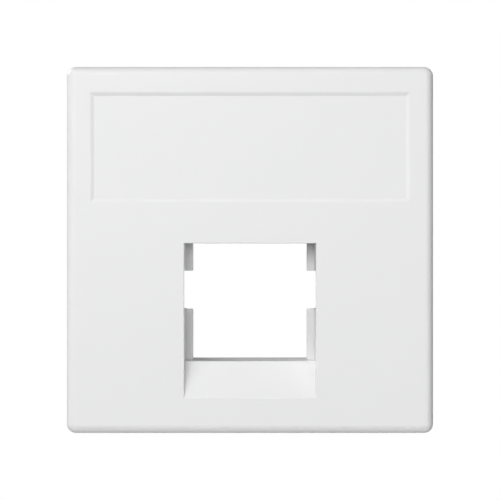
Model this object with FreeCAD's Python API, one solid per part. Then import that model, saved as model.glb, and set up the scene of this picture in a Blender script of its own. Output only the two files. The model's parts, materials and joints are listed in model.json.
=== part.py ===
import FreeCAD, Part
import math
import os

Vector = FreeCAD.Vector

# Cover plate for one data jack, a single moulding, in millimetres.
# Seen from the front, X runs to the right and Z up. Y runs from the front face to the back.
# The origin is the centre of the rear rim, which seats on the support frame.

# Shell
plate_width = 55.0
plate_height = 55.0
plate_depth = 8.0
panel_wall = 2.5
skirt_wall = 1.8
edge_radius = 1.4
cavity_radius = 0.6
rim_break = 0.3

# Label field, a shallow recess with sloping walls
label_side_margin = 3.65
label_top_margin = 3.95
label_recess = 0.2
label_wall_run = 0.55
label_gap = 6.15

# Jack window, from the foot of its ramp up
window_foot_margin = 5.35
ramp_height = 5.3
ramp_depth = 3.0
clear_height = 17.85
aperture_width = 19.7
ledge_width = 1.05
ledge_depth = 6.0
ledge_wall = 1.5
upper_ledge_height = 4.2
notch_height = 5.9
notch_lip = 0.8
mouth_radius = 0.12

# Jack well behind the window
well_wall = 1.6
well_radius = 0.8
well_reach = 1.7
well_lead_in = 0.5
ramp_wall = 1.8

# Ribs on the back of the panel
rib_wall = 1.0
rib_height = 2.0

# Snap legs that hold the plate on its support frame
support_wall = 1.5
snap_clearance = 0.2
leg_spacing = 22.0
leg_width = 7.0
leg_wall = 1.6
leg_tip_wall = 1.0
leg_reach = 5.0
leg_gap = 3.2
leg_root_radius = 0.8
hook_overhang = 0.9
hook_rise = 0.5
hook_land = 0.6
hook_tip_inset = 0.3

# How far a cutter stands clear of the face that it opens
overshoot = 1.0

# Planes and widths that several features share
front = -plate_depth
panel_back = front + panel_wall
crest_plane = front + ramp_depth
ledge_plane = front + ledge_depth
window_foot = -plate_height / 2 + window_foot_margin
ramp_crest = window_foot + ramp_height
window_top = ramp_crest + clear_height
clear_width = aperture_width - 2 * ledge_width
well_width = aperture_width + 2 * well_wall
well_bottom = ramp_crest - well_wall
well_top = window_top + well_wall
# What stands on the back of the panel is rooted halfway through it
root_plane = panel_back - panel_wall / 2


def block(x_size, y_range, z_range):
    """Box centred on X, between two values of Y and two of Z."""
    y_low, y_high = y_range
    z_low, z_high = z_range
    corner = Vector(-x_size / 2, y_low, z_low)
    return Part.makeBox(x_size, y_high - y_low, z_high - z_low, corner)


def edges_along_y(box):
    def runs_along_y(bounds):
        return bounds.YLength > bounds.XLength + bounds.ZLength

    return [edge for edge in box.Edges if runs_along_y(edge.BoundBox)]


def face_at(shape, y):
    """The flat face of a shape that lies at this Y."""
    return min(shape.Faces, key=lambda face: abs(face.CenterOfMass.y - y))


def nearest(shapes, spot):
    return min(shapes, key=lambda shape: shape.distToShape(spot)[0])


def rounded_block(x_size, y_range, z_range, radius):
    """Block with its four corners and the edges of its front face rounded alike."""
    box = block(x_size, y_range, z_range)
    return box.makeFillet(radius, edges_along_y(box) + face_at(box, y_range[0]).Edges)


def prism_along_x(outline, width):
    """Prism centred on X, from an outline of (y, z) points."""
    points = [Vector(-width / 2, y, z) for y, z in outline]
    return Part.Face(Part.makePolygon(points + points[:1])).extrude(Vector(width, 0, 0))


def rectangle(width, z_range, y):
    """Outline centred on X, in a plane of constant Y."""
    z_low, z_high = z_range
    half = width / 2
    corners = [(-half, z_low), (half, z_low), (half, z_high), (-half, z_high)]
    points = [Vector(x, y, z) for x, z in corners]
    return Part.makePolygon(points + points[:1])


def flared_cutter(width, z_range, mouth, depth, wall_run, outward):
    """Cutter of the given size at its mouth, whose sloping walls run in by wall_run over its depth.

    outward is the direction along Y in which the mouth opens, 1 or -1.
    """
    z_low, z_high = z_range

    def section(rise):
        flare = rise * wall_run / depth
        return rectangle(width + 2 * flare, (z_low - flare, z_high + flare), mouth + outward * rise)

    return Part.makeLoft([section(-depth), section(overshoot)], True, True)


def shell():
    """Front panel and skirt, with rounded outer edges and a hollow back."""
    half_height = plate_height / 2
    outside = rounded_block(plate_width, (front, 0), (-half_height, half_height), edge_radius)
    outside = outside.makeChamfer(rim_break, face_at(outside, 0).Edges)
    half_cavity = half_height - skirt_wall
    cavity = rounded_block(
        plate_width - 2 * skirt_wall,
        (panel_back, overshoot),
        (-half_cavity, half_cavity),
        cavity_radius,
    )
    return outside.cut(cavity)


def label_cutter():
    label_range = (window_top + label_gap, plate_height / 2 - label_top_margin)
    label_width = plate_width - 2 * label_side_margin
    return flared_cutter(label_width, label_range, front, label_recess, label_wall_run, -1)


def well_blank():
    """Solid from which the jack well is cut, with its walls and the back of the ramp."""
    collar = block(well_width, (root_plane, well_reach), (well_bottom, well_top))
    collar = collar.makeFillet(well_radius, edges_along_y(collar))
    ramp_slope = math.atan2(ramp_depth, ramp_height)
    ramp_back = ramp_wall / math.cos(ramp_slope)
    ramp = prism_along_x(
        [
            (root_plane, window_foot),
            (front + ramp_back, window_foot),
            (crest_plane + ramp_back, ramp_crest),
            (root_plane, ramp_crest),
        ],
        well_width,
    )
    return collar.fuse(ramp)


def window_cutters():
    """The mouth with its ramp, the gap between the ledges, the well behind them and its lead-in."""
    ramp_run_out = ramp_height * overshoot / ramp_depth
    mouth = prism_along_x(
        [
            (front - overshoot, window_foot - ramp_run_out),
            (crest_plane, ramp_crest),
            (ledge_plane, ramp_crest),
            (ledge_plane, window_top),
            (front - overshoot, window_top),
        ],
        aperture_width,
    )
    ledge_back = ledge_plane + ledge_wall
    ledge_gap = block(clear_width, (ledge_plane, ledge_back), (ramp_crest, window_top))
    well = block(aperture_width, (ledge_back, well_reach + overshoot), (ramp_crest, window_top))
    lead_in_range = (ramp_crest - well_lead_in, window_top + well_lead_in)
    lead_in_width = aperture_width + 2 * well_lead_in
    lead_in = flared_cutter(lead_in_width, lead_in_range, well_reach, well_lead_in, well_lead_in, 1)
    return [mouth, ledge_gap, well, lead_in]


def notch_cutters():
    """Slot that splits the well on both sides, and the pockets where it runs on into the panel.

    The pockets leave a thin lip of the panel, so that from the front no wall shows beside the notch.
    """
    notch_top = window_top - upper_ledge_height
    notch_range = (notch_top - notch_height, notch_top)
    slot = block(well_width + 2 * overshoot, (panel_back, well_reach + overshoot), notch_range)
    pockets = block(aperture_width + well_wall, (front + notch_lip, panel_back), notch_range)
    return [slot, pockets]


def ribs():
    """Four ribs in line with the outside of the well, each running from skirt to skirt."""
    y_range = (root_plane, panel_back + rib_height)
    across = plate_width - skirt_wall
    upright_half = (plate_height - skirt_wall) / 2
    found = [
        block(across, y_range, (well_top - rib_wall, well_top)),
        block(across, y_range, (well_bottom, well_bottom + rib_wall)),
    ]
    for side in (-1, 1):
        upright = block(rib_wall, y_range, (-upright_half, upright_half))
        upright.translate(Vector(side * (well_width - rib_wall) / 2, 0, 0))
        found.append(upright)
    return found


def snap_leg():
    """Leg on the right-hand side with its hook outward, flared at its root and centred on Z."""
    outer = plate_width / 2 - skirt_wall - leg_gap
    inner = outer - leg_wall
    tip_outer = outer - hook_tip_inset
    root_outer = outer + leg_root_radius
    root_inner = inner - leg_root_radius
    flare_end = panel_back + leg_root_radius
    arc_middle = leg_root_radius * (1 - math.cos(math.pi / 4))
    catch = support_wall + snap_clearance
    hook_face = outer + hook_overhang

    def at(x, y):
        return Vector(x, y, -leg_width / 2)

    outer_flare = Part.Arc(
        at(root_outer, panel_back),
        at(outer + arc_middle, panel_back + arc_middle),
        at(outer, flare_end),
    )
    hook = Part.makePolygon(
        [
            at(outer, flare_end),
            at(outer, catch),
            at(hook_face, catch + hook_rise),
            at(hook_face, catch + hook_rise + hook_land),
            at(tip_outer, leg_reach),
            at(tip_outer - leg_tip_wall, leg_reach),
            at(inner, flare_end),
        ]
    )
    inner_flare = Part.Arc(
        at(inner, flare_end),
        at(inner - arc_middle, panel_back + arc_middle),
        at(root_inner, panel_back),
    )
    root = Part.makePolygon(
        [
            at(root_inner, panel_back),
            at(root_inner, root_plane),
            at(root_outer, root_plane),
            at(root_outer, panel_back),
        ]
    )
    outline = Part.Wire([outer_flare.toShape()] + hook.Edges + [inner_flare.toShape()] + root.Edges)
    return Part.Face(outline).extrude(Vector(0, 0, leg_width))


def snap_legs():
    """Two legs on each side, mirrored from right to left."""
    right = snap_leg()
    left = right.mirror(Vector(0, 0, 0), Vector(1, 0, 0))
    placed = []
    for leg in (right, left):
        for side in (-1, 1):
            copy = leg.copy()
            copy.translate(Vector(0, 0, side * leg_spacing / 2))
            placed.append(copy)
    return placed


def soften_window(plate):
    """Rounds the edge of the window in the front face, and the crest of its ramp."""
    rim = nearest(face_at(plate, front).Wires, Part.Vertex(0, front, window_foot))
    crest = nearest(plate.Edges, Part.Vertex(0, crest_plane, ramp_crest))
    return plate.makeFillet(mouth_radius, rim.Edges + [crest])


def cover_plate():
    plate = shell().fuse([well_blank()] + ribs() + snap_legs())
    plate = plate.cut(window_cutters() + notch_cutters() + [label_cutter()]).removeSplitter()
    return soften_window(plate)


os.makedirs("parts", exist_ok=True)
finished = cover_plate()
finished.exportStep("parts/cover_plate.step")
print("solids", len(finished.Solids), "valid", finished.isValid(), "volume", round(finished.Volume, 1))
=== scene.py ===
# %% [markdown]
# # A centre plate for one data jack
#
# The object is a single moulding in white satin plastic: a square face with a shallow label field, a
# window for one jack with a thumb ramp at its foot, and a hollow back with ribs and four snap legs. The
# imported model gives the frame. X runs to the right, Z up, and Y from the front face to the back, in
# metres, with the origin in the middle of the rear rim.

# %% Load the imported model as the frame
import json
import math

import bmesh
import bpy
from mathutils import Matrix, Vector


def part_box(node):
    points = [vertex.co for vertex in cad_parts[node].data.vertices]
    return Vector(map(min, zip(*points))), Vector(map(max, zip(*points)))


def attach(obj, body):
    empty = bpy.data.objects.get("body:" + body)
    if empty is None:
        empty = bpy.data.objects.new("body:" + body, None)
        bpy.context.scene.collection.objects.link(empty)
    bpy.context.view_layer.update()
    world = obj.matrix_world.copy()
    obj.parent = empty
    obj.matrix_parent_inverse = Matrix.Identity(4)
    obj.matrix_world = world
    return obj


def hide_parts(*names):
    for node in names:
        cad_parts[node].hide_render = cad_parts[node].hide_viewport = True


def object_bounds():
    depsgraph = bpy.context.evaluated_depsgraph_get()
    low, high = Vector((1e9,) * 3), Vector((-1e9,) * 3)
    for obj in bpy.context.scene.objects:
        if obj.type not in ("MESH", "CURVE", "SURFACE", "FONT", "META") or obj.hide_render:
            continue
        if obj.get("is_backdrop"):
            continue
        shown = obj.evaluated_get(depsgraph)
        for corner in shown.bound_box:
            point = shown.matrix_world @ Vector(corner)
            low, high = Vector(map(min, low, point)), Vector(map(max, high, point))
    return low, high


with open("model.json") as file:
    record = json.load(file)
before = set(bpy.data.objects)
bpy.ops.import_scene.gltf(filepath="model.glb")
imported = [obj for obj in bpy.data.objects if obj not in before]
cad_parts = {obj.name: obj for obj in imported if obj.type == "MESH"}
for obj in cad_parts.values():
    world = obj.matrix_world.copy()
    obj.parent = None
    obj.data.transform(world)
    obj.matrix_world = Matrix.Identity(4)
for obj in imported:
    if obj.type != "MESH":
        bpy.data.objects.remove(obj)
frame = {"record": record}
cad_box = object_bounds()

# %% [markdown]
# ## The camera
#
# The plate is seen straight from the front. The floor of the jack well shows as a strip less than a
# millimetre high, so the lens is a few plate widths away: from nearer the strip would be higher, and
# from infinity it would be gone. A camera could be fitted by eye in the viewport. Here its focal length
# follows from two measured values, the distance and the size of one pixel at the front face, so that
# the framing stays right if either changes. A new camera looks straight down, and a quarter turn makes
# it look along Y.

# %% Camera
MM = 0.001
view_distance = 180 * MM
pixel_size = 0.1492 * MM
picture_pixels = 500
nearest_seen = 10 * MM
quarter_turn = math.radians(90)

cad_low, cad_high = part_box("cover_plate")
lens = bpy.data.cameras.new("front_camera")
lens.lens = lens.sensor_width * view_distance / (pixel_size * picture_pixels)
lens.clip_start = nearest_seen
camera = bpy.data.objects.new("front_camera", lens)
camera.location = (0, cad_low.y - view_distance, 0)
camera.rotation_euler = (quarter_turn, 0, 0)
bpy.context.scene.collection.objects.link(camera)
bpy.context.scene.camera = camera
print("camera stands", round(view_distance / MM), "mm from the face, lens", round(lens.lens, 1), "mm")

# %% [markdown]
# ## Sizes from the frame
#
# The mesh below is worked out in millimetres, because a moulding's drawing is, and it is brought to
# metres at the very end. Every size could be typed in again, but the outside comes from the box of the
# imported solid, and the label field, the jack well and the hooks come from the record's mounts, so that
# the mesh can't drift away from the places where other parts fit.

# %% Sizes that the frame gives
mounts = {mount["name"]: mount for mount in frame["record"]["mounts"]}


def place_mm(mount):
    return Vector(mounts[mount]["pos_m"]) / MM


half_side = cad_high.x / MM
front = cad_low.y / MM
leg_tip = cad_high.y / MM
label_floor = place_mm("label_field").y
label_middle = place_mm("label_field").z
well_end = place_mm("jack_well").y
well_middle = place_mm("jack_well").z
catch = place_mm("snap_hooks").y
leg_outer = mounts["snap_hooks"]["dims"]["spacing_x_mm"] / 2
leg_offset = mounts["snap_hooks"]["dims"]["spacing_y_mm"] / 2
print("plate is", round(2 * half_side, 2), "mm square and", round(-front, 2), "mm deep to its rim")
print("legs reach", round(leg_tip, 2), "mm behind the rim")

# %% [markdown]
# ## Tools for solids
#
# A moulding is easiest to think of as the mould maker does: solid blocks joined together, and cutters
# taken away. Cubes could be added with an operator and scaled into shape, but their real sizes would
# then hide in a scale. bmesh makes a block or a prism straight from its sizes, and needs no selection
# or active object.

# %% Blocks, prisms and arcs
def block(x_range, y_range, z_range):
    """A box between two corners, as a bmesh."""
    shape = bmesh.new()
    bmesh.ops.create_cube(shape, size=1)
    # The cube's corners lie at -0.5 and 0.5.
    for vertex in shape.verts:
        vertex.co = [
            low + (share + 0.5) * (high - low)
            for share, (low, high) in zip(vertex.co, (x_range, y_range, z_range))
        ]
    return shape


def prism(outline, along):
    """A closed outline of points, drawn out by a vector."""
    shape = bmesh.new()
    near_end = [shape.verts.new(point) for point in outline]
    far_end = [shape.verts.new(Vector(point) + Vector(along)) for point in outline]
    shape.faces.new(near_end)
    shape.faces.new(far_end)
    for corner in range(len(outline)):
        shape.faces.new([near_end[corner - 1], near_end[corner], far_end[corner], far_end[corner - 1]])
    return shape


def arc(centre, radius, start, end, steps):
    """Points on an arc from one angle to another, in degrees."""
    angles = [math.radians(start + (end - start) * step / steps) for step in range(steps + 1)]
    return [(centre[0] + radius * math.cos(a), centre[1] + radius * math.sin(a)) for a in angles]


print("solids are built from blocks and prisms, in millimetres")

# %% [markdown]
# ## Rounded edges
#
# Moulded plastic has no sharp outer edges. bmesh's bevel cuts a chamfer, and it turns into a fillet
# when it has several segments. A subdivision surface would also round things, but it makes flat faces
# and exact radii hard. The edges to round are found by where they lie, or by how far they stand out.

# %% Finding and rounding edges
NEAR = 1e-4
SHARP = math.radians(50)
CHAMFER = 1
ROUND_PROFILE = 0.5


def edges_along_y(shape):
    return [edge for edge in shape.edges if abs(edge.verts[0].co.y - edge.verts[1].co.y) > NEAR]


def edges_at_y(shape, y):
    return [edge for edge in shape.edges if all(abs(vertex.co.y - y) < NEAR for vertex in edge.verts)]


def sharp_edges(shape, least=SHARP):
    """The edges that stand out at more than the least angle. Inner corners don't count."""
    bmesh.ops.recalc_face_normals(shape, faces=shape.faces)
    return [edge for edge in shape.edges if edge.calc_face_angle_signed(0) > least]


def round_edges(shape, edges, radius, steps):
    bmesh.ops.bevel(
        shape,
        geom=edges,
        offset=radius,
        offset_type="OFFSET",
        affect="EDGES",
        segments=steps,
        profile=ROUND_PROFILE,
    )


print("edges that stand out at more than", round(math.degrees(SHARP)), "degrees count as sharp")

# %% [markdown]
# ## Joining and cutting
#
# Blender's Boolean modifier joins and cuts. It could be left live on the plate, but then every later
# step would work on the unfinished mesh, so each result is evaluated once and kept as the plate's own
# mesh. The exact solver is used because ribs, well and ramp share flat sides, which it merges cleanly.

# %% Joining and cutting
def solid(name, shape):
    """An object made from a bmesh, in the scene."""
    bmesh.ops.recalc_face_normals(shape, faces=shape.faces)
    mesh = bpy.data.meshes.new(name)
    shape.to_mesh(mesh)
    shape.free()
    piece = bpy.data.objects.new(name, mesh)
    bpy.context.scene.collection.objects.link(piece)
    return piece


def settle(piece):
    """Applies a piece's modifiers to its mesh."""
    depsgraph = bpy.context.evaluated_depsgraph_get()
    finished = bpy.data.meshes.new_from_object(piece.evaluated_get(depsgraph), depsgraph=depsgraph)
    piece.modifiers.clear()
    piece.data = finished


def combine(piece, operation, shapes):
    """Joins shapes to a piece with UNION, or takes them from it with DIFFERENCE."""
    others = [solid(operation.lower(), shape) for shape in shapes]
    for other in others:
        step = piece.modifiers.new(operation.lower(), "BOOLEAN")
        step.operation = operation
        step.solver = "EXACT"
        step.object = other
    settle(piece)
    for other in others:
        bpy.data.objects.remove(other)


print("shapes are joined and cut with the exact solver")

# %% [markdown]
# ## Panel and skirt
#
# The face and the skirt round it are one shell. Its outer corners and the edge of its face have the
# same radius, which gives the plate its soft outline. A Solidify modifier could hollow it, but with one
# wall all over, and the panel is thicker than the skirt, so a second block is taken away. The outer
# fillets have more steps than the inner ones, so that the outline stays round in a close view.

# %% Shell
panel_wall = 2.5
skirt_wall = 1.8
edge_radius = 1.4
cavity_radius = 0.6
rim_break = 0.3
outer_steps = 8
inner_steps = 6
overshoot = 1.0
panel_back = front + panel_wall


def shell_outside():
    shape = block((-half_side, half_side), (front, 0), (-half_side, half_side))
    round_edges(shape, edges_along_y(shape) + edges_at_y(shape, front), edge_radius, outer_steps)
    round_edges(shape, edges_at_y(shape, 0), rim_break, CHAMFER)
    return shape


def shell_hollow():
    inside = half_side - skirt_wall
    shape = block((-inside, inside), (panel_back, overshoot), (-inside, inside))
    round_edges(shape, edges_along_y(shape) + edges_at_y(shape, panel_back), cavity_radius, inner_steps)
    return shape


plate = solid("moulded_plate", shell_outside())
combine(plate, "DIFFERENCE", [shell_hollow()])
print("shell has", len(plate.data.polygons), "faces")

# %% [markdown]
# ## The jack well
#
# Behind the window stands a short square tube, the well that guides the jack. Its floor continues into
# the thumb ramp. Four walls could be set up one by one, but tube and ramp are made solid first, and the
# window is cut through both in one go, so that ramp and floor meet without a seam. Every edge that
# stays in the open is broken by a tenth of a millimetre or so, as polishing the mould does. Without it
# no edge would catch the light.

# %% Sizes of the window and the well
clear_height = 17.85
clear_width = 17.6
ledge_width = 1.05
ramp_height = 5.3
ramp_depth = 3.0
well_wall = 1.6

window_top = well_middle + clear_height / 2
ramp_crest = well_middle - clear_height / 2
window_foot = ramp_crest - ramp_height
crest_plane = front + ramp_depth
aperture_width = clear_width + 2 * ledge_width
half_well = aperture_width / 2 + well_wall
well_top = window_top + well_wall
well_bottom = ramp_crest - well_wall
print("well is", round(2 * half_well, 2), "mm wide and ends", round(well_end, 2), "mm behind the rim")

# %% Well tube and ramp
ramp_wall = 1.8
well_radius = 0.8
edge_break = 0.12
edge_break_steps = 6
root_plane = (front + panel_back) / 2


def across(outline, half_width):
    """A prism from side to side, from an outline of (y, z) points."""
    return prism([(-half_width, y, z) for y, z in outline], (2 * half_width, 0, 0))


def well_tube():
    shape = block((-half_well, half_well), (root_plane, well_end), (well_bottom, well_top))
    round_edges(shape, edges_along_y(shape), well_radius, inner_steps)
    return shape


def ramp_back():
    slope = math.atan2(crest_plane - front, ramp_height)
    behind = ramp_wall / math.cos(slope)
    outline = [
        (root_plane, window_foot),
        (front + behind, window_foot),
        (crest_plane + behind, ramp_crest),
        (root_plane, ramp_crest),
    ]
    shape = across(outline, half_well)
    round_edges(shape, sharp_edges(shape), edge_break, edge_break_steps)
    return shape


print("ramp rises", ramp_height, "mm over a depth of", ramp_depth, "mm")

# %% [markdown]
# ## Ribs
#
# Four thin ribs run from skirt to skirt in line with the well. They keep the panel flat when it is
# pressed home, and they are low and thin, because a thick rib would leave a sink mark on the face. A
# Wireframe modifier could draw such a grid in one go, but each rib is a block, so that its place and
# wall are plain numbers. Its edges are rounded before it is joined, while they are easy to find.

# %% Ribs
rib_wall = 1.0
rib_height = 2.0
rib_top = panel_back + rib_height


def rib(x_range, z_range):
    shape = block(x_range, (root_plane, rib_top), z_range)
    round_edges(shape, sharp_edges(shape), edge_break, edge_break_steps)
    return shape


def ribs():
    reach = half_side - skirt_wall / 2
    found = [rib((-reach, reach), (low, low + rib_wall)) for low in (well_top - rib_wall, well_bottom)]
    found += [rib((low, low + rib_wall), (-reach, reach)) for low in (half_well - rib_wall, -half_well)]
    return found


print("ribs stand", rib_height, "mm high and are", rib_wall, "mm thick")

# %% [markdown]
# ## Snap legs
#
# Two legs on each side hold the plate on the frame behind it. Each bends a little until its hook passes
# the sheet and springs out behind it. In profile it is a beam that flares into the panel, where it
# bends most, and thins towards the tip. The profile is drawn once and drawn out to the leg's width. A
# Mirror modifier could make the other side, but turning the sign of X does it in the outline itself.

# %% Snap legs
leg_wall = 1.6
leg_tip_wall = 1.0
leg_width = 7.0
leg_root_radius = 0.8
hook_overhang = 0.9
hook_rise = 0.5
hook_land = 0.6
hook_tip_inset = 0.3


def leg_profile():
    """Outline of (x, y) points of a leg on the right-hand side."""
    inner = leg_outer - leg_wall
    flare_end = panel_back + leg_root_radius
    hook_face = leg_outer + hook_overhang
    land_start = catch + hook_rise
    tip_outer = leg_outer - hook_tip_inset
    outer_flare = arc((leg_outer + leg_root_radius, flare_end), leg_root_radius, 270, 180, inner_steps)
    inner_flare = arc((inner - leg_root_radius, flare_end), leg_root_radius, 0, -90, inner_steps)
    hook = [
        (leg_outer, catch),
        (hook_face, land_start),
        (hook_face, land_start + hook_land),
        (tip_outer, leg_tip),
        (tip_outer - leg_tip_wall, leg_tip),
    ]
    root = [(inner_flare[-1][0], root_plane), (outer_flare[0][0], root_plane)]
    return outer_flare + hook + inner_flare + root


def snap_leg(side, middle):
    low = middle - leg_width / 2
    shape = prism([(side * x, y, low) for x, y in leg_profile()], (0, 0, leg_width))
    round_edges(shape, sharp_edges(shape), edge_break, edge_break_steps)
    return shape


def snap_legs():
    return [snap_leg(side, middle) for side in (-1, 1) for middle in (-leg_offset, leg_offset)]


print("four legs reach", round(leg_tip - panel_back, 2), "mm from the panel")

# %% [markdown]
# ## One moulding
#
# On the real plate all of this is one shot of plastic, with no seam where a rib meets the skirt. Pieces
# that only pass through each other would look the same from afar, but their hidden faces would stay in
# the mesh. So everything behind the face is joined to the shell, each piece rooted halfway through the
# panel.

# %% Join what stands behind the face
combine(plate, "UNION", [well_tube(), ramp_back()] + ribs() + snap_legs())
print("joined plate has", len(plate.data.polygons), "faces")

# %% [markdown]
# ## The window and its ledges
#
# One cutter, drawn in profile, opens the window: it follows the ramp back, then the floor of the well
# to its end. Two upright bars then go back in at the sides. They are the ledges that stop the jack,
# which comes from behind. Bars that reach a little into the walls join them cleanly, where a cutter
# with steps would share its flat sides with the first one and leave slivers.

# %% Window and ledges
ledge_depth = 6.0
ledge_wall = 1.5
ledge_root = 0.5
cut_end = well_end + overshoot


def window_cutter():
    run_out = ramp_height * overshoot / (crest_plane - front)
    profile = [
        (front - overshoot, window_foot - run_out),
        (crest_plane, ramp_crest),
        (cut_end, ramp_crest),
        (cut_end, window_top),
        (front - overshoot, window_top),
    ]
    return across(profile, aperture_width / 2)


def ledge_bar(side):
    ledge_plane = front + ledge_depth
    x_range = sorted((side * clear_width / 2, side * (aperture_width / 2 + ledge_root)))
    y_range = (ledge_plane, ledge_plane + ledge_wall)
    return block(x_range, y_range, (ramp_crest - ledge_root, window_top + ledge_root))


combine(plate, "DIFFERENCE", [window_cutter()])
combine(plate, "UNION", [ledge_bar(-1), ledge_bar(1)])
print("window is", round(aperture_width, 2), "mm wide and", clear_width, "mm clear between its ledges")

# %% [markdown]
# ## Notches
#
# A slot splits the well and its ledges on both sides, for the latches of the jack. It runs on into the
# panel, where it leaves only a lip, so that no wall shows beside it from the front. A block for each
# side would do, but one plan that is mirrored about the middle and drawn upwards makes all of it in a
# single cut.

# %% Notches
upper_ledge_height = 4.2
notch_height = 5.9
notch_lip = 0.8


def notch_cutter():
    """A slot right through the well, narrower where it enters the panel."""
    in_panel = half_well - well_wall / 2
    behind = half_well + overshoot
    right = [
        (in_panel, front + notch_lip),
        (in_panel, panel_back),
        (behind, panel_back),
        (behind, cut_end),
    ]
    plan = right + [(-x, y) for x, y in reversed(right)]
    bottom = window_top - upper_ledge_height - notch_height
    return prism([(x, y, bottom) for x, y in plan], (0, 0, notch_height))


print("notches are", notch_height, "mm high and leave a lip of", notch_lip, "mm")

# %% [markdown]
# ## Label field and lead-in
#
# The label field is a recess of a fifth of a millimetre with sloping walls. Bump could draw it, but its
# walls have to catch the light from every side, so it is cut. The back of the well flares, so that the
# jack finds its way in. Both cutters are blocks with one end spread, so one function makes them.

# %% Label field and lead-in
label_height = 16.4
label_width = 47.7
label_wall_run = 0.55
well_lead_in = 0.5


def flared_cutter(width, height, middle, mouth, depth, wall_run, outward):
    """A cutter of the given size at its mouth, with sloping walls. It opens along Y outward, 1 or -1."""
    half_width = width / 2 - wall_run
    half_height = height / 2 - wall_run
    bottom = mouth - outward * depth
    top = mouth + outward * overshoot
    flare = wall_run * (depth + overshoot) / depth
    shape = block((-half_width, half_width), sorted((bottom, top)), (-half_height, half_height))
    for vertex in shape.verts:
        if abs(vertex.co.y - top) < NEAR:
            vertex.co.x += math.copysign(flare, vertex.co.x)
            vertex.co.z += math.copysign(flare, vertex.co.z)
        vertex.co.z += middle
    return shape


def label_cutter():
    depth = label_floor - front
    return flared_cutter(label_width, label_height, label_middle, front, depth, label_wall_run, -1)


def lead_in_cutter():
    """Opens the back of the well. It starts inside the well, so that their walls cross cleanly."""
    width = aperture_width + 2 * well_lead_in
    height = clear_height + 2 * well_lead_in
    depth = well_lead_in + overshoot
    return flared_cutter(width, height, well_middle, well_end, depth, depth, 1)


combine(plate, "DIFFERENCE", [notch_cutter(), lead_in_cutter(), label_cutter()])
print("cut plate has", len(plate.data.polygons), "faces")

# %% [markdown]
# ## Soft edges where the cutters passed
#
# The cutters leave knife edges, and so do the walls of the label field, which slope by only twenty
# degrees. A Bevel modifier breaks them all in one go: it takes a weight from each edge, so edges that
# are round already, and inner corners, are left alone. Its angle limit can't tell an inner corner from
# an outer one.

# %% Round the cut edges
WELD = 0.001
SLIGHT = math.radians(15)


def soften_cut_edges(piece):
    shape = bmesh.new()
    shape.from_mesh(piece.data)
    bmesh.ops.remove_doubles(shape, verts=shape.verts, dist=WELD)
    bmesh.ops.dissolve_degenerate(shape, edges=shape.edges, dist=WELD)
    weight = shape.edges.layers.float.new("bevel_weight_edge")
    in_face = set(edges_at_y(shape, front)).intersection(sharp_edges(shape, SLIGHT))
    for edge in in_face.union(sharp_edges(shape)):
        edge[weight] = 1
    shape.to_mesh(piece.data)
    shape.free()
    bevel = piece.modifiers.new("soft_edges", "BEVEL")
    bevel.limit_method = "WEIGHT"
    bevel.width = edge_break
    bevel.segments = edge_break_steps
    bevel.use_clamp_overlap = False
    settle(piece)


soften_cut_edges(plate)
print("plate with soft edges has", len(plate.data.polygons), "faces")

# %% [markdown]
# ## What the mould leaves on the back
#
# Pins push the moulding out of its tool, and each leaves a shallow round print on the back, where
# nobody looks. The resin comes in through a small gate, whose stump stands in a dish so that it needn't
# be trimmed flush. Both could be painted on as bump, but these are real steps, so they are cut, after
# the rounding and with crisp edges.

# %% Pin marks and gate
pin_radius = 1.5
pin_mark_depth = 0.1
outer_pin_x, outer_pin_z = 18.0, 22.0
inner_pin_x, inner_pin_z = 15.8, -8.0
gate_place = (0.0, 12.0)
gate_dish_radius = 2.2
gate_dish_depth = 0.3
gate_radius = 0.7
gate_height = 0.25
disc_corners = 48

pin_places = [(side * outer_pin_x, up * outer_pin_z) for side in (-1, 1) for up in (-1, 1)]
pin_places += [(side * inner_pin_x, inner_pin_z) for side in (-1, 1)]


def disc(place, radius, y_range):
    """A short cylinder along Y."""
    last_corner = disc_corners - 1
    outline = arc(place, radius, 0, 360 * last_corner / disc_corners, last_corner)
    return prism([(x, y_range[0], z) for x, z in outline], (0, y_range[1] - y_range[0], 0))


def pin_mark(place):
    return disc(place, pin_radius, (panel_back - pin_mark_depth, panel_back + overshoot))


dish_floor = panel_back - gate_dish_depth
gate_dish = disc(gate_place, gate_dish_radius, (dish_floor, panel_back + overshoot))
gate_stump = disc(gate_place, gate_radius, (dish_floor - gate_height, dish_floor + gate_height))
combine(plate, "DIFFERENCE", [gate_dish] + [pin_mark(place) for place in pin_places])
combine(plate, "UNION", [gate_stump])
print("the back shows", len(pin_places), "pin marks and a gate")

# %% [markdown]
# ## The finished mesh
#
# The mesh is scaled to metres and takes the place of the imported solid, which it follows to a tenth of a
# millimetre everywhere but in the gate's dish. It is shaded smooth up to a crease angle that lies
# between the steps of the fillets and the slope of the label field's walls, so the fillets look round
# and the walls keep a crisp foot. Weighted normals keep the large faces flat in shading, which would
# otherwise look like cushions.

# %% Take the place of the solid
CREASE = math.radians(17)

plate.data.transform(Matrix.Scale(MM, 4))
plate.data.shade_smooth()
plate.data.set_sharp_from_angle(angle=CREASE)
even = plate.modifiers.new("flat_faces", "WEIGHTED_NORMAL")
even.keep_sharp = True
settle(plate)
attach(plate, "root")
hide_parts("cover_plate")
print("finished plate has", len(plate.data.polygons), "faces")

# %% [markdown]
# ## Sums in a shader
#
# A shader's maths is easier to read as a formula than as a web of nodes. This class wraps a node's
# output, and each operator on it adds the Math node that does the sum. Any other node comes from its
# one method.

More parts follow.
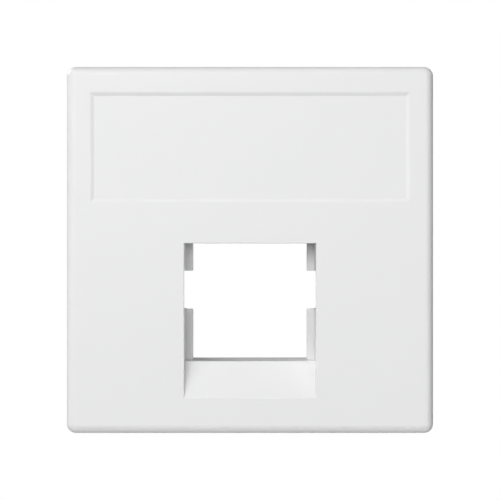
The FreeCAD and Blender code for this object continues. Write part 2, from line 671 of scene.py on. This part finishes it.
# %% A socket that Python can calculate with
class Wire:
    """A node's output. Sums written with it become nodes."""

    def __init__(self, socket):
        self.socket = socket

    @classmethod
    def node(cls, tree, kind, settings=None, inputs=None, output=0):
        """Adds a node, sets it up, feeds its inputs and returns one of its outputs."""
        added = tree.nodes.new(kind)
        for name, value in (settings or {}).items():
            setattr(added, name, value)
        cls.feed(added, inputs or {})
        return cls(added.outputs[output])

    @classmethod
    def feed(cls, node, inputs):
        for key, value in inputs.items():
            if isinstance(value, cls):
                node.id_data.links.new(value.socket, node.inputs[key])
            else:
                node.inputs[key].default_value = value

    def math(self, operation, *terms):
        inputs = dict(enumerate(terms))
        return self.node(self.socket.id_data, "ShaderNodeMath", {"operation": operation}, inputs)

    def __add__(self, other):
        return self.math("ADD", self, other)

    __radd__ = __add__

    def __sub__(self, other):
        return self.math("SUBTRACT", self, other)

    def __rsub__(self, other):
        return self.math("SUBTRACT", other, self)

    def __mul__(self, other):
        return self.math("MULTIPLY", self, other)

    __rmul__ = __mul__

    def __abs__(self):
        return self.math("ABSOLUTE", self)

    def larger(self, other):
        return self.math("MAXIMUM", self, other)


print("shader sums are written as Python expressions")

# %% [markdown]
# ## Where each finish lies
#
# The half of the mould that forms the outside is spark eroded, which leaves a fine even grain and a
# soft sheen. The other half, the core, forms the back and the inside of the well. It is milled and
# brushed, so the plastic is shinier there and has faint parallel tool lines. Faces could be given one
# material or the other, but the finishes run into each other over a millimetre, so a mask worked out
# from the object's own coordinates says how much of the core's there is. The same mask paints shade
# into the colour: it darkens the white inside the well and on the back. A second mask marks the rim of
# the face, which fingers polish.

# %% Where each finish lies
turned_back = (0.2, 0.6)
finish_change = 1.0


def smooth_step(tree, value, low, high):
    settings = {"interpolation_type": "SMOOTHSTEP"}
    inputs = {"Value": value, "From Min": low, "From Max": high}
    return Wire.node(tree, "ShaderNodeMapRange", settings, inputs)


def split(tree, vector):
    parts = Wire.node(tree, "ShaderNodeSeparateXYZ", inputs={"Vector": vector}).socket.node
    return [Wire(socket) for socket in parts.outputs]


def finish_masks(tree, place):
    """Two masks from 0 to 1: what the brushed half of the mould forms, where the colour also gets painted
    shade, and the rim of the face that fingers polish.
    """
    x, y, z = split(tree, place)
    normal = Wire.node(tree, "ShaderNodeTexCoord", output="Normal")
    _, backward, _ = split(tree, normal)
    faces_back = smooth_step(tree, backward, *turned_back)
    behind_crest = smooth_step(tree, y, crest_plane, crest_plane + finish_change)
    from_axis = abs(x).larger(abs(z))
    off_skirt = 1 - smooth_step(tree, from_axis, half_side - skirt_wall, half_side - skirt_wall / 2)
    # Where this mask is 1 the colour gets the core's darker white, which is painted shade.
    core_and_painted_shade = faces_back.larger(behind_crest) * off_skirt
    rim = smooth_step(tree, from_axis, half_side - 2 * edge_radius, half_side) * (1 - behind_crest)
    return core_and_painted_shade, rim


print("the core's finish starts", round(crest_plane - front, 2), "mm behind the face")

# %% [markdown]
# ## White
#
# The resin is white all through. The core's white is darker, and that is painted shade: it stands in for
# the shade on the ledges and walls inside the well, and it leaves the back a shade greyer too. Each of
# the two whites is mixed from two tones that differ by a percent or two, in clouds so faint that they
# only keep the surface from looking computed. An image could hold them, but noise keeps its real size on
# every side of the plate.

# %% White
# A Mix node has sockets for several kinds of value. These are the numbers of the ones for colours.
MIX_FACTOR, MIX_A, MIX_B, MIX_COLOUR = 0, 6, 7, 2
clouds_per_mm = 0.12
cloud_detail = 3
outer_white = ((0.792, 0.794, 0.797, 1), (0.806, 0.806, 0.805, 1))
# The core's darker white is painted shade for the ledges and walls inside the well; on the back it only
# looks greyer.
core_painted_shade_white = ((0.692, 0.695, 0.699, 1), (0.708, 0.708, 0.708, 1))


def noise(tree, place, scale, detail):
    inputs = {"Vector": place, "Scale": scale, "Detail": detail}
    return Wire.node(tree, "ShaderNodeTexNoise", inputs=inputs)


def mix(tree, share, first, second):
    inputs = {MIX_FACTOR: share, MIX_A: first, MIX_B: second}
    return Wire.node(tree, "ShaderNodeMix", {"data_type": "RGBA"}, inputs, MIX_COLOUR)


# Mixes the two whites by the core mask, so the darker one paints shade inside the well and on the back.
def cloudy_white_and_painted_shade(tree, place, core_and_painted_shade):
    clouds = noise(tree, place, clouds_per_mm, cloud_detail)
    return mix(tree, core_and_painted_shade, mix(tree, clouds, *outer_white), mix(tree, clouds, *core_painted_shade_white))


print("clouds in the white are about", round(1 / clouds_per_mm), "mm across")

# %% [markdown]
# ## Grain and sheen
#
# Two things make plastic look like plastic: how evenly it is rough, and how the grain breaks up the
# light. The grain is noise a fifth of a millimetre across and a micrometre high, and the core's tool
# lines are a wave. Both go through one Bump node, because displacing the mesh that finely would take
# millions of faces.

# %% Sheen
NOISE_MEAN = 0.5
outer_roughness = 0.46
core_polish = 0.1
rim_polish = 0.06
patches_per_mm = 0.5
patch_detail = 2
patch_roughness = 0.06


def satin_roughness(tree, place, core_and_painted_shade, rim):
    patches = noise(tree, place, patches_per_mm, patch_detail) - NOISE_MEAN
    return outer_roughness - core_polish * core_and_painted_shade - rim_polish * rim + patch_roughness * patches


print("roughness is", outer_roughness, "outside and", round(outer_roughness - core_polish, 2), "inside")

# %% Grain and tool lines
grain_per_mm = 5.0
grain_height = 1.4e-6
grain_detail = 2
tool_lines_per_mm = 0.8
tool_line_height = 1.2e-6
tool_line_sway = 1.5
tool_line_detail = 2


def fine_relief(tree, place, core_and_painted_shade):
    """A normal from heights in metres, so that the Bump node's distance is 1."""
    grain = noise(tree, place, grain_per_mm, grain_detail)
    tool_lines = Wire.node(
        tree,
        "ShaderNodeTexWave",
        {"bands_direction": "Z"},
        {
            "Vector": place,
            "Scale": tool_lines_per_mm,
            "Distortion": tool_line_sway,
            "Detail": tool_line_detail,
        },
        "Fac",
    )
    height = grain_height * grain * (1 - core_and_painted_shade) + tool_line_height * tool_lines * core_and_painted_shade
    return Wire.node(tree, "ShaderNodeBump", inputs={"Height": height, "Distance": 1.0}, output="Normal")


print("grain is", 1 / grain_per_mm, "mm across")

# %% [markdown]
# ## White satin plastic
#
# The plate takes one material, because it is one shot of resin. A glossy shader over a dull one could
# give its sheen, but the Principled shader already does that sum, and the colour, roughness and relief
# above go into it.

# %% White satin plastic
plastic_ior = 1.53


def satin_plastic():
    material = bpy.data.materials.new("white_satin_plastic")
    material.use_nodes = True
    tree = material.node_tree
    metres = Wire.node(tree, "ShaderNodeTexCoord", output="Object")
    place = Wire.node(tree, "ShaderNodeVectorMath", {"operation": "SCALE"}, {0: metres, "Scale": 1 / MM})
    core_and_painted_shade, rim = finish_masks(tree, place)
    finish = {
        "Base Color": cloudy_white_and_painted_shade(tree, place, core_and_painted_shade),
        "Roughness": satin_roughness(tree, place, core_and_painted_shade, rim),
        "Normal": fine_relief(tree, place, core_and_painted_shade),
        "IOR": plastic_ior,
    }
    Wire.feed(tree.nodes["Principled BSDF"], finish)
    return material


plate.data.materials.clear()
plate.data.materials.append(satin_plastic())
print("plastic has", len(plate.data.materials[0].node_tree.nodes), "nodes")

# %% [markdown]
# ## Studio
#
# The plate is lit as a small white product is, by softboxes of one size at one distance. More of them
# stand to the left and above than to the right and below. So the left wall of the window throws a soft
# shadow over ledges and ramp, and the right and lower edges stay darker, which draws the outline on a
# white ground. One on the right opens the shadows. Of the lights behind, the left one brightens the
# floor of the well, and the others let the back and the right side be seen. The two washes stay out of
# reflections, because seen at a low angle the floor of the well would mirror them. One big light would
# be simpler, but it would flatten the label field, whose walls are only a fifth of a millimetre high.

# %% Soft lights
softbox_distance = 1.2
softbox_size = 0.6


def softbox(name, left, up, watts, in_reflections=True):
    """A square light that faces the plate, from an angle to the left of the camera and an angle up."""
    left, up = math.radians(left), math.radians(up)
    light = bpy.data.lights.new(name, "AREA")
    light.size = softbox_size
    light.energy = watts
    lamp = bpy.data.objects.new(name, light)
    towards = Vector((-math.sin(left) * math.cos(up), -math.cos(left) * math.cos(up), math.sin(up)))
    lamp.location = softbox_distance * towards
    lamp.rotation_euler = towards.to_track_quat("Z", "Y").to_euler()
    lamp.visible_camera = False
    lamp.visible_glossy = in_reflections
    bpy.context.scene.collection.objects.link(lamp)
    return lamp


lamps = [
    softbox("front", 12, 15, 6.6),
    softbox("left", 45, 8, 2.95),
    softbox("upper_left", 35, 40, 1.6),
    softbox("left_side", 85, 0, 1.8),
    softbox("top", 0, 55, 2.75),
    softbox("right_fill", -35, 0, 3.8),
    softbox("back_left", 120, 30, 7.5),
    softbox("back_low", 180, -20, 2.5),
    softbox("back_glint", 180, 0, 0.2),
    softbox("back_wash", 180, 3, 2.5, in_reflections=False),
    softbox("right_wash", -150, -3, 7.0, in_reflections=False),
]
print(len(lamps), "lights of", round(sum(lamp.data.energy for lamp in lamps), 1), "W together")

# %% [markdown]
# ## Floor
#
# The floor is matt paper, well below the plate, so that it throws a little light back but no shadow
# crosses the picture. A plain disc would show its rim against the white, so the paper fades out towards
# it: a Mix Shader goes over to Transparent with the distance from the middle.

# %% Matt paper
# The two shaders that go into a Mix Shader have sockets of the same name, so all three go by number.
SHADER_SHARE, SHADER_A, SHADER_B = 0, 1, 2
floor_radius = 0.8
fade_start = 0.25
paper_grey = (0.68, 0.68, 0.68, 1)
paper_roughness = 0.8
fibre_roughness = 0.1
fibres_per_metre = 900
fibre_detail = 4


def shade_between(tree, share, first, second):
    inputs = {SHADER_SHARE: share, SHADER_A: first, SHADER_B: second}
    return Wire.node(tree, "ShaderNodeMixShader", inputs=inputs)


def matt_paper():
    material = bpy.data.materials.new("matt_paper")
    material.use_nodes = True
    tree = material.node_tree
    metres = Wire.node(tree, "ShaderNodeTexCoord", output="Object")
    from_middle = Wire.node(tree, "ShaderNodeVectorMath", {"operation": "LENGTH"}, {0: metres}, "Value")
    fibres = noise(tree, metres, fibres_per_metre, fibre_detail)
    paper = tree.nodes["Principled BSDF"]
    Wire.feed(paper, {"Base Color": paper_grey, "Roughness": paper_roughness + fibre_roughness * fibres})
    fade = smooth_step(tree, from_middle, fade_start, floor_radius)
    clear = Wire.node(tree, "ShaderNodeBsdfTransparent")
    faded = shade_between(tree, fade, Wire(paper.outputs["BSDF"]), clear)
    Wire.feed(tree.nodes["Material Output"], {"Surface": faded})
    return material


print("paper fades out from", fade_start, "to", floor_radius, "m from the middle")

# %% Floor
floor_drop = 0.5
floor_corners = 96


def pale_floor():
    shape = bmesh.new()
    bmesh.ops.create_circle(shape, cap_ends=True, radius=floor_radius, segments=floor_corners)
    floor = solid("floor", shape)
    floor.location.z = -floor_drop
    floor.data.materials.append(matt_paper())
    return floor


pale_floor()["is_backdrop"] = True
print("floor lies", floor_drop, "m below the plate")

# %% [markdown]
# ## White surroundings
#
# The ground behind the plate is plain white. A white wall could stand there, but it would need lights
# of its own, and it would light the plate from behind. So the world is white to the camera alone, and
# dark to everything else: a world as bright as that would fill every shadow. The Standard view shows
# that white as it is, where Blender's usual one would turn it grey.

# %% White surroundings
WHITE = (1, 1, 1, 1)


def background(tree, strength):
    return Wire.node(tree, "ShaderNodeBackground", inputs={"Color": WHITE, "Strength": strength})


def white_surroundings():
    """A world that is white to the camera and dark to everything else."""
    world = bpy.data.worlds.new("white_surroundings")
    world.use_nodes = True
    tree = world.node_tree
    seen = Wire.node(tree, "ShaderNodeLightPath", output="Is Camera Ray")
    dark = background(tree, 0.0)
    bright = background(tree, 1.0)
    mixed = shade_between(tree, seen, dark, bright)
    Wire.feed(tree.nodes["World Output"], {"Surface": mixed})
    return world


bpy.context.scene.world = white_surroundings()
bpy.context.scene.view_settings.view_transform = "Standard"
print("world is", bpy.context.scene.world.name)

# %% [markdown]
# ## The sizes side by side
#
# A moulding has to fit its frame, so the looks must not change its size. The two could be compared by
# eye in the viewport, but a tenth of a millimetre doesn't show there. So the box of the imported solid
# and the box of what is shown now are compared here, and the largest difference between them is printed.

# %% Sizes before and after
visual_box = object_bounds()
drift = max(abs(shown - packed) for ends in zip(cad_box, visual_box) for packed, shown in zip(*ends))
print("shown and packed box differ by at most", round(drift / MM, 4), "mm")
